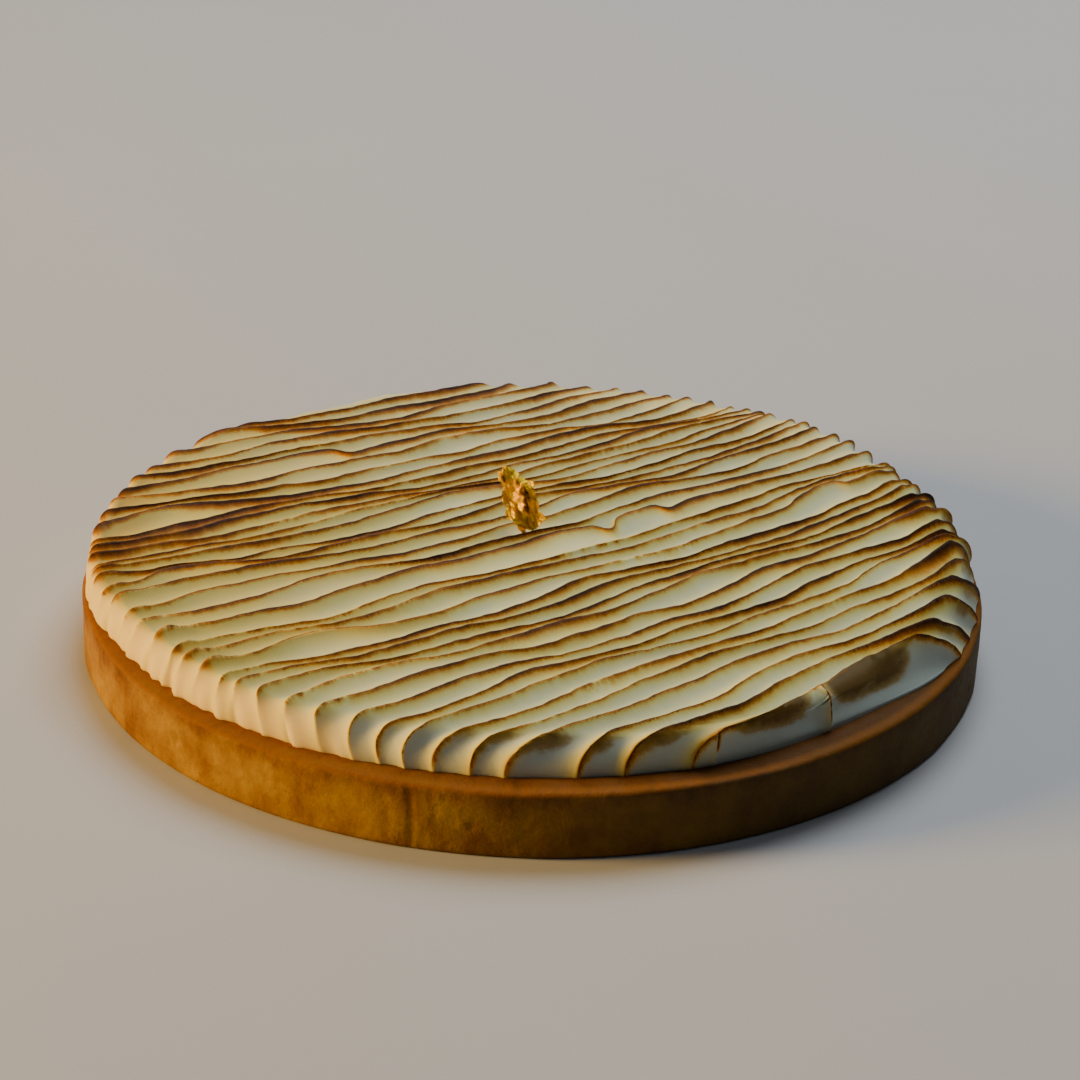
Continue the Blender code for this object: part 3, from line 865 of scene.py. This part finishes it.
def surface_points(u, v, drop):
    """Points of the combed surface over places of the plan; drop is the turn of the shoulder there."""
    x, y = ridge_to_plan(u, v)
    angle = np.arctan2(y, x)
    out = np.hypot(x, y)
    share = out / edge_radius(angle)
    base = CRUST_HEIGHT + SEATING_GAP
    power = SHOULDER_POWER + ELBOW_SLOPE * hump_at(angle, ELBOW_AT)
    height = base + (MERINGUE_TOP - base) * np.cos(drop) ** power
    height = height + CROWN * np.clip(1 - share ** 2, 0, 1)
    ridges = RidgePlaces(u, v)
    depth = flute_depth(angle, drop, ridges, share)
    nose = nose_reach(angle, drop, ridges)
    nose = nose + DIVIDER_NOSE * (ridges.number == 0) * divider_share(angle, drop) * np.sin(2 * drop)
    ends = crest_ends(angle, share, ridges)
    move = (ridges.rise() + ends + fine_relief(ridges, u, v) - depth) * flute_fade(angle, drop)
    bulge = BULGE * hump_at(angle, BULGE_AT) * share ** 12 * np.sqrt(np.cos(drop))
    lobes = foot_lobes(angle, drop)
    out = out + move * np.sin(drop) + nose + bulge + LOBE_REACH * lobes
    height = height + move * np.cos(drop) + NOSE_LIFT * (nose + bulge) - LOBE_SAG * lobes
    angle = angle + WALL_TWIST * hump_at(angle, WALL_TWIST_AT) * (1 - np.cos(drop))
    return np.stack((out * np.cos(angle), out * np.sin(angle), height), axis=1)


def lay_out(verts, layers, u, v, drop):
    """Move vertices to their place on the surface and note where in the plan they came from."""
    move_to(verts, surface_points(u, v, drop))
    for vert, along, across, turn in zip(verts, u, v, drop):
        vert[layers["along"]] = along
        vert[layers["across"]] = across
        vert[layers["drop"]] = turn


def place_top(verts, layers, comb, rows, columns):
    """Lay the grid's vertices along the comb's rows, out to the start of the shoulder."""
    ends = [[comb.crossing(number, 0, side) for side in (-1, 1)] for number in range(comb.last + 1)]
    left, right = np.array(ends)[rows].T
    u = left + (right - left) * columns / MERINGUE_COLUMNS
    v = np.array([comb.across(number, place) for number, place in zip(rows, u)])
    lay_out(verts, layers, u, v, np.zeros(len(u)))


def place_ring(verts, layers, comb, rows, columns, drop):
    """Lay a ring of the shoulder's vertices where the rows cross it, and evenly past the outermost rows."""
    reach = math.sin(drop)
    corner = {(number, side): comb.crossing_angle(number, reach, side)
              for number in (0, comb.last) for side in (-1, 1)}
    angles = []
    for number, column in zip(rows, columns):
        if column in (0, MERINGUE_COLUMNS):
            angles.append(comb.crossing_angle(number, reach, 1 if column else -1))
            continue
        start, end = corner[number, -1], corner[number, 1]
        sweep = (end - start) % math.tau if number == 0 else -((start - end) % math.tau)
        angles.append(start + sweep * column / MERINGUE_COLUMNS)
    angles = np.array(angles)
    start = shoulder_start(angles)
    radius = edge_radius(angles) * (start + (1 - start) * reach)
    in_frame = angles - RIDGE_ANGLE
    lay_out(verts, layers, radius * np.cos(in_frame), radius * np.sin(in_frame), np.full(len(verts), drop))


def make_meringue(material):
    bm = bmesh.new()
    comb = CombRows(ROW_SPLITS)
    for name in ("row", "column"):
        bm.verts.layers.int.new(name)
    for name in ("along", "across", "drop"):
        bm.verts.layers.float.new(name)
    row_of, column_of = bm.verts.layers.int["row"], bm.verts.layers.int["column"]
    layers = {name: bm.verts.layers.float[name] for name in ("along", "across", "drop")}
    bmesh.ops.create_grid(bm, x_segments=MERINGUE_COLUMNS, y_segments=comb.last, size=1)
    for vert in bm.verts:
        vert[column_of] = round((vert.co.x + 1) * 0.5 * MERINGUE_COLUMNS)
        vert[row_of] = round((vert.co.y + 1) * 0.5 * comb.last)
    verts = list(bm.verts)
    rows, columns = np.array([(vert[row_of], vert[column_of]) for vert in verts]).T
    place_top(verts, layers, comb, rows, columns)
    loop = [edge for edge in bm.edges if edge.is_boundary]
    for step in SHOULDER_STEPS_DEG:
        ring, loop = grow_ring(bm, loop)
        rows, columns = [vert[row_of] for vert in ring], [vert[column_of] for vert in ring]
        place_ring(ring, layers, comb, rows, columns, math.radians(step))
    seat_meringue(bm, loop)
    piece = finish_piece(bm, "toasted_meringue", material, "meringue")
    note_toasting_and_painted_light(piece.data)


def seat_meringue(bm, loop):
    """Close the underside: a lip that sinks into the crust's rim, and a flat base in its recess."""
    seat_height = CRUST_HEIGHT - RECESS_DEPTH + SEATING_GAP
    for beyond, height, most in ((LIP_REACH, LIP_HEIGHT, 1), (-2 * SEATING_GAP, seat_height, math.inf)):
        ring, loop = grow_ring(bm, loop)
        for vert in ring:
            radius = rim_inside(math.atan2(vert.co.y, vert.co.x)) + beyond
            share = min(most, radius / math.hypot(vert.co.x, vert.co.y))
            vert.co = (vert.co.x * share, vert.co.y * share, height)
    close_with_fan(bm, loop)


def random_wave(dice, u, length):
    stretch = dice.uniform(*BURN_WAVE_STRETCH)
    return np.sin(math.tau * u / (length * stretch) + dice.uniform(0, math.tau))


def crest_toast(u):
    """How strongly every crest is torched along its length, one row a crest."""
    dice = random.Random(TOAST_SEED)
    rows = []
    for _ in range(RIDGE_COUNT + 1):
        level = dice.uniform(*TOAST_LEVELS)
        for height, length in TOAST_WAVES:
            level = level + height * random_wave(dice, u, length)
        rows.append(level)
    return np.array(rows)


def crest_reach(u):
    """How far down its slope every crest is browned, in millimetres, one row a crest."""
    dice = random.Random(TOAST_SEED + 1)
    rows = []
    for _ in range(RIDGE_COUNT + 1):
        reach = BURN_REACH * dice.uniform(*BURN_REACH_SHARES)
        for share, length in BURN_REACH_WAVES:
            reach = reach + BURN_REACH * share * random_wave(dice, u, length)
        rows.append(reach)
    return np.array(rows)


def change_stretches(rows, u, stretches):
    """Add to single crests over a stretch of their length, with soft ends."""
    for *place, change in stretches:
        across, start, end = [MM * value for value in place]
        middle = 0.5 * (start + end)
        nearest = int(np.argmin(np.abs(crest_lines(np.array([middle]))[:, 0] - across)))
        window = step_at(u, start, BURN_SOFT_END) * step_at(u, end, -BURN_SOFT_END)
        rows[nearest] += change * window


def read_floats(mesh, name):
    values = np.empty(len(mesh.vertices), dtype=np.float32)
    mesh.attributes[name].data.foreach_get("value", values)
    return values.astype(float)


def note_toasting_and_painted_light(mesh):
    """Write what the finish needs at every vertex: distances from crests, browning, painted shade and warm
    light, and place.
    """
    u, v, drop = [read_floats(mesh, name) for name in ("along", "across", "drop")]
    ridges = RidgePlaces(u, v)
    x, y = ridge_to_plan(u, v)
    angle, radius = np.arctan2(y, x), np.hypot(x, y)
    toast, reach = crest_toast(u), crest_reach(u)
    change_stretches(toast, u, BROKEN_BURNS)
    change_stretches(reach, u, WIDE_BURNS)
    ahead = np.where(ridges.on_low_crest, 0, ridges.ahead)
    beside = beside_dividers(angle, drop)
    outermost = ridges.past_outermost()
    behind = np.where(ridges.on_crest, 0, ridges.behind)
    behind = np.where(outermost, np.minimum(behind, np.where(beside < 0, -beside, NO_CREST)), behind)
    last = last_combed_crest()
    on_last = ridges.on_crest & (ridges.nearest_crest() == last)
    ahead = np.where((ridges.number >= last) & ~on_last, NO_CREST, ahead)
    behind = np.where(ridges.number > last, NO_CREST, behind)
    reach = ridges.pick(reach) * region_reach(angle, radius)
    patch, tip = wall_patches(ridges, angle, drop)
    noted = {
        "ahead": ahead / MM,
        "behind": behind / MM,
        "facet": 1.0 * outermost,
        "toast": ridges.pick(toast) * region_toast(angle, radius),
        "reach": np.where(ridges.burning_crest() == 1, FACET_BURN_REACH, reach),
        "kept": wall_browning(angle, drop),
        "patch": patch,
        "tip": tip,
        # painted shade in the flutes
        "flute": flute_shade(ridges, angle, drop),
        # painted warm light on the left wall
        "band": left_wall(angle) * down_wall(drop, LEFT_WARM_LIGHT_START),
    }
    for name, values in noted.items():
        mesh.attributes.new(name, "FLOAT", "POINT").data.foreach_set("value", values.astype(np.float32))
    down = (MERINGUE_TOP - CRUST_HEIGHT) * drop / (0.5 * math.pi)
    flat, apart = angle - RIDGE_ANGLE, ridges.burning_crest() * 3 * MM
    place = np.stack((u + down * np.cos(flat), v + down * np.sin(flat), apart), axis=1)
    places = mesh.attributes.new("place", "FLOAT_VECTOR", "POINT").data
    places.foreach_set("vector", (place / MM).astype(np.float32).ravel())


def last_combed_crest():
    """The number of the last crest, at the back, that reaches the tart's top."""
    u = np.linspace(-TART_RADIUS, TART_RADIUS, CREST_SAMPLES)
    reaches = [shoulder_reach(u, line).min() for line in crest_lines(u)]
    return max(number for number, reach in enumerate(reaches) if reach < ROW_REACH_LIMIT)


def outer_change(angle, radius, region):
    change, place, start, soft = region
    return change * hump_at(angle, place) * step_at(radius, start, soft)


def ring_change(angle, radius, region):
    change, place, middle, width = region
    return change * hump_at(angle, place) * bump(radius - middle, width)


def region_toast(angle, radius):
    """The torching over the whole tart: paler at the front left, strongest at the elbows on the right."""
    level = 1 + sum(outer_change(angle, radius, region) for region in OUTER_TOAST)
    level = level + ring_change(angle, radius, ELBOW_TOAST)
    level = level + sum(change * step_at(radius * np.sin(angle), y, soft) for change, y, soft in PALE_BANDS)
    return level * (1 + outer_change(angle, radius, LEFT_EDGE_TOAST))


def region_reach(angle, radius):
    """Browner and broader faces at the back, at the left edge and at the elbows."""
    outer = sum(outer_change(angle, radius, region) for region in OUTER_REACH)
    return 1 + outer + ring_change(angle, radius, ELBOW_REACH)


def wall_browning(angle, drop):
    """How much of the crests' browning is left down the wall: none at the left, a thin line elsewhere."""
    left = left_wall(angle)
    foot = (1 - left) * FOOT_BROWNING_LOSS * down_wall(drop, FOOT_BROWNING_END)
    return 1 - left * down_wall(drop, LEFT_BROWNING_END) - foot


def flute_shade(ridges, angle, drop):
    """1 in the middle of the flutes on the wall, where a bluish painted shade goes."""
    first, second = [step_at(ridges.share, *side) for side in FLUTE_SHADE_SIDES]
    combed = ridges.number < last_combed_crest()
    return down_wall(drop, FLUTE_SHADE_START) * (1 - left_wall(angle)) * first * second * combed


def facet_patches(angle, drop):
    """Browned middles of the wide facets, with a pale border at the right and below."""
    ends = beside_facet_ends(angle, drop)
    lean = FACET_PATCH_LEAN * np.sin(drop)
    inside = [step_at(left - lean, *FACET_PATCH_LEFT) * step_at(right, *FACET_PATCH_RIGHT)
              for left, right in zip(ends, ends[1:])]
    return sum(inside) * down_wall(drop, FACET_PATCH_END)


def flute_patches(ridges, angle, drop):
    """Browned upper parts of the narrower flutes, from the front to the right, where they fade."""
    near_line = np.clip(1.2 - ridges.ahead / (FLUTE_PATCH_SHARE * ridges.gap), 0, 1)
    turn = np.degrees(turned_from(angle, FLUTE_PATCH_ANGLE))
    start, fading, end = [step_at(turn, *place) for place in FLUTE_PATCH_TURNS]
    band = down_wall(drop, FLUTE_PATCH_START) * down_wall(drop, FLUTE_PATCH_END)
    return FLUTE_PATCH * near_line * band * start * (1 - 0.5 * fading) * end


def wall_patches(ridges, angle, drop):
    """Browned patches on the wall, and the browned tips of the crests at the left."""
    wall = np.where(ridges.past_outermost(), facet_patches(angle, drop), flute_patches(ridges, angle, drop))
    strength = pick_shares(random.Random(NOSE_SEED + 1), TIP_TOAST_SHARES, ridges)
    near = np.exp(-np.minimum(ridges.ahead, TIP_TOAST_BEHIND * ridges.behind) / TIP_TOAST_REACH)
    middle, spread = TIP_TOAST_AT
    return wall, strength * near * bump(np.degrees(drop) - middle, spread) * left_wall(angle)


def divider_lines(m, x, y, ragged):
    """The browned lines down the wall where the wide facets meet."""
    angle = y.maths("ARCTAN2", y, x)
    drop = m.attribute("drop")
    lean = drop.maths("SINE", drop)
    lines = 0
    for top, foot in FACET_ENDS[1:3]:
        beside = (angle - math.radians(top) - math.radians(foot - top) * lean) * (TART_RADIUS / MM)
        beside = beside + (ragged - 0.5) * 0.5
        right = (beside.most(0) / 0.75).fade()
        left = ((-beside).most(0) / 0.18).fade()
        lines = right * left + lines
    return lines * m.attribute("facet") * drop.between(math.radians(80), math.radians(60)) * 0.8


def meringue_finish():
    """Pale meringue, browned along the crests by the distance from them, with painted light and shade laid
    over it.
    """
    m = Finish("Toasted meringue", Subsurface_Weight=0.20, Subsurface_Radius=(1.0, 0.8, 0.55),
               Subsurface_Scale=0.6 * MM, Specular_IOR_Level=0.16)
    place = m.attribute_vector("place")
    x, y = [m.split(m.object_place(), axis) for axis in "XY"]
    ahead, behind, toast, reach, patch = map(m.attribute, ("ahead", "behind", "toast", "reach", "patch"))
    strokes = m.cloud(m.stretch(place, (1.0, 0.22, 0.5)), 1.3, 4, 0.65)
    ragged = m.cloud(m.stretch(place, (1.0, 0.5, 0.5)), 2.4, 3, 0.65)
    specks = m.cloud(place, 5.0, 2, 0.6)
    broken = m.cloud(m.stretch(place, (1.0, 0.7, 1.0)), 0.30, 3, 0.6)
    dots = m.cloud(place, 2.2, 3, 0.7)
    away = (ahead + (ragged - 0.5) * 0.3 + (dots - 0.5) * 0.9).most(0)
    scale = reach * (0.75 + 0.5 * m.cloud(place, 0.35, 3, 0.6))
    line = (away / scale).fade()
    tail = (away / (scale * 3.0)).fade()
    strength = toast + (broken - 0.5) * (0.7 + 1.6 * toast.between(0.55, 0.30))
    beyond = (behind / 0.34).fade()
    heat = strength * (0.70 * line + 0.36 * tail).most(0.55 * beyond)
    heat = heat + (specks - 0.5) * 0.30 * heat.between(0.05, 0.25)
    heat = heat * m.attribute("kept")
    heat = heat.most(divider_lines(m, x, y, ragged))
    heat = heat.most(m.attribute("tip") * (0.46 + (dots - 0.5) * 0.5))
    colour = m.ramp(heat.clip(), (
        (0.00, (0.75, 0.77, 0.48)),
        (0.07, (0.76, 0.71, 0.25)),
        (0.17, (0.71, 0.53, 0.105)),
        (0.30, (0.55, 0.245, 0.013)),
        (0.46, (0.29, 0.098, 0.004)),
        (0.68, (0.105, 0.032, 0.003)),
        (0.92, (0.030, 0.012, 0.004)),
    ))
    pale = heat.between(0.3, 0.04)
    # A golden patch at the front-left edge: painted warm light, with some browning.
    golden_light_and_toast = x.between(-0.096, -0.112) * y.between(-0.05, -0.02)
    flute = m.attribute("flute")
    # A cream colour on the slopes just past each crest: a painted warm highlight.
    painted_cream_highlight = (behind / (2.4 - 1.2 * flute)).fade() * 0.85 * pale
    blotches = m.cloud(place, 0.16, 4, 0.6)
    brown = patch + patch.between(0.0, 0.4) * (blotches - 0.5) * 1.2 + patch * (dots - 0.5) * 0.3
    over = heat.between(0.75, 0.50) * 0.85
    colour = m.tint(
        colour,
        # the back of the top is less yellow: painted cool light
        (pale * y.between(0.0, 0.1) * 0.5, (0.76, 0.76, 0.55)),
        # the left of the top is warmer: painted warm light
        (pale * x.between(-0.01, -0.10) * 0.8, (0.77, 0.59, 0.13)),
        # painted warm light with some browning at the front-left edge
        (pale * golden_light_and_toast * 0.75, (0.62, 0.38, 0.07)),
        # painted bluish shade in the flutes on the wall
        (pale * flute * 0.85, (0.50, 0.57, 0.54)),
        # painted bluish shade on the wide facets
        (pale * m.attribute("facet") * 0.6, (0.50, 0.58, 0.53)),
        # painted warm light on the left wall
        (pale * m.attribute("band") * 0.85, (0.95, 0.68, 0.32)),
        # painted warm highlight past the crests
        (painted_cream_highlight.clip(), (0.80, 0.66, 0.17)),
        (brown.between(0.10, 0.50) * over, (0.36, 0.22, 0.030)),
        (brown.between(0.40, 1.0) * over, (0.12, 0.060, 0.007)),
    )
    relief = m.bump(strokes, 0.10 * MM, 0.6)
    relief = m.bump(m.cloud(place, 2.6, 4, 0.65), 0.10 * MM, 0.6, relief)
    return m.finish(Base_Color=colour, Roughness=0.52 + 0.2 * specks, Normal=relief)


# Gold leaf

def leaf_waves(waves, along, across):
    return sum(size * math.sin(up * along + beside * across) for size, up, beside in waves)


def leaf_place(along, across):
    """A point of the crumpled leaf, with along from foot to tip and across from side to side."""
    narrowing = LEAF_END_SHARE + (1 - LEAF_END_SHARE) * math.sin(math.pi * (0.22 + 0.68 * along))
    ragged = 1 + LEAF_RAGGED * leaf_waves(LEAF_EDGE_WAVES, along, across)
    x = across * 0.5 * LEAF_WIDTH * narrowing * ragged
    z = along * LEAF_LENGTH + LEAF_RAGGED * LEAF_WIDTH * math.sin(5 * across + 1) * (along - 0.5)
    return Vector((x, LEAF_CRUMPLE * leaf_waves(LEAF_FOLD_WAVES, along, across), z))


def crease_depth(place, sizes):
    """Sharp folds of several sizes, as in crumpled foil."""
    depth = 0
    for size, length in sizes:
        depth += size * (0.5 - abs(noise.noise(place / length + Vector((length / MM, 0, 0)))) * 2)
    return depth


def make_gold_leaf(material):
    bm = bmesh.new()
    bm.verts.layers.float.new("fold")
    bmesh.ops.create_grid(bm, x_segments=LEAF_COLUMNS, y_segments=LEAF_ROWS, size=1)
    fold = bm.verts.layers.float["fold"]
    torn = []
    for vert in bm.verts:
        along, across = (vert.co.y + 1) * 0.5, vert.co.x
        place = leaf_place(along, across)
        edge = max(abs(across), abs(2 * along - 1) ** 3)
        if edge + sum(size * noise.noise(place / length) for size, length in LEAF_TEARS) > LEAF_TORN_FROM:
            torn.append(vert)
        flat = Vector((place.x, 0, LEAF_CREASE_SQUASH * place.z))
        depth = crease_depth(flat, LEAF_FOLDS)
        # The depth of the large folds, which the finish turns into painted light and shade.
        vert[fold] = depth / MM
        place.y += depth + crease_depth(flat, LEAF_CREASES)
        place.x += LEAF_SIDE_FOLDS * crease_depth(flat + LEAF_SIDE_SEED, LEAF_FOLDS)
        vert.co = place
    bmesh.ops.delete(bm, geom=torn, context="VERTS")
    bmesh.ops.recalc_face_normals(bm, faces=bm.faces)
    bmesh.ops.solidify(bm, geom=bm.faces, thickness=LEAF_THICKNESS)
    stand = Matrix.Translation(LEAF_FOOT)
    for axis, turn in (("Z", LEAF_TURN), ("Y", -LEAF_TILT), ("X", -LEAF_LEAN)):
        stand = stand @ Matrix.Rotation(turn, 4, axis)
    bmesh.ops.transform(bm, matrix=stand, verts=bm.verts)
    finish_piece(bm, "crumpled_gold_leaf", material, "gold_leaf")


def leaf_finish():
    m = Finish("Gold leaf", Metallic=0.8, Specular_IOR_Level=0.05)
    place = m.object_place()
    fold = m.attribute("fold")
    tarnish = m.cloud(place, 700, 3, 0.6)
    # Lighter on the raised folds and darker in the deep ones: painted light and shade, with random tarnish.
    deep = fold.between(0.15, -0.75) * 0.85 + (tarnish - 0.5) * 0.5
    colour = m.ramp(deep.clip(), (
        (0.0, (0.84, 0.53, 0.002)),
        (0.35, (0.82, 0.44, 0.002)),
        (0.62, (0.42, 0.19, 0.002)),
        (0.90, (0.05, 0.024, 0.004)),
    ))
    relief = m.bump(m.cloud(place, 2400, 3, 0.6, 0.6), 0.18 * MM, 1.0)
    return m.finish(Base_Color=colour, Roughness=0.34 + 0.30 * tarnish, Normal=relief)


# The room

def make_floor():
    bm = bmesh.new()
    bmesh.ops.create_grid(bm, x_segments=1, y_segments=1, size=FLOOR_SIZE)
    m = Finish("Pale floor", Roughness=0.7)
    tone = m.cloud(m.object_place(), 9, 3, 0.5)
    material = m.finish(Base_Color=m.blend(tone, (0.52, 0.52, 0.54, 1), (0.55, 0.55, 0.56, 1)))
    floor = place_mesh(bm, "floor", material)


def make_light(name, azimuth, height, distance, size, power, colour):
    data = bpy.data.lights.new(name, "AREA")
    data.shape = "DISK"
    data.size = size
    data.energy = power
    data.color = colour
    turn, rise = math.radians(azimuth), math.radians(height)
    away = Vector((math.cos(turn) * math.cos(rise), math.sin(turn) * math.cos(rise), math.sin(rise)))
    light = place_object(name, data)
    light.location = away * distance
    light.rotation_euler = away.to_track_quat("Z", "Y").to_euler()


def light_room():
    world = bpy.data.worlds.new("Room")
    world.use_nodes = True
    background = world.node_tree.nodes["Background"]
    background.inputs["Color"].default_value = (*ROOM_COLOUR, 1)
    background.inputs["Strength"].default_value = ROOM_STRENGTH
    bpy.context.scene.world = world
    make_light("Warm key", **KEY_LIGHT)
    make_light("Cool fill", **FILL_LIGHT)
    make_light("Cool front", **FRONT_LIGHT)


def place_camera():
    back = Vector((0, -math.cos(CAMERA_LOOKS_DOWN), math.sin(CAMERA_LOOKS_DOWN)))
    right = Vector((1, 0, 0))
    up = right.cross(-back)
    cos, sin = math.cos(CAMERA_ROLL), math.sin(CAMERA_ROLL)
    stand = Matrix((right * cos + up * sin, up * cos - right * sin, back)).transposed().to_4x4()
    stand.translation = CAMERA_AIM + back * CAMERA_DISTANCE
    data = bpy.data.cameras.new("Camera")
    data.sensor_width = SENSOR_MM
    data.lens = FOCAL_IN_PIXELS / PHOTO_PIXELS * SENSOR_MM
    camera = place_object("Camera", data)
    camera.matrix_world = stand
    bpy.context.scene.camera = camera


make_crust(crust_finish())
make_meringue(meringue_finish())
make_gold_leaf(leaf_finish())
make_floor()
light_room()
place_camera()
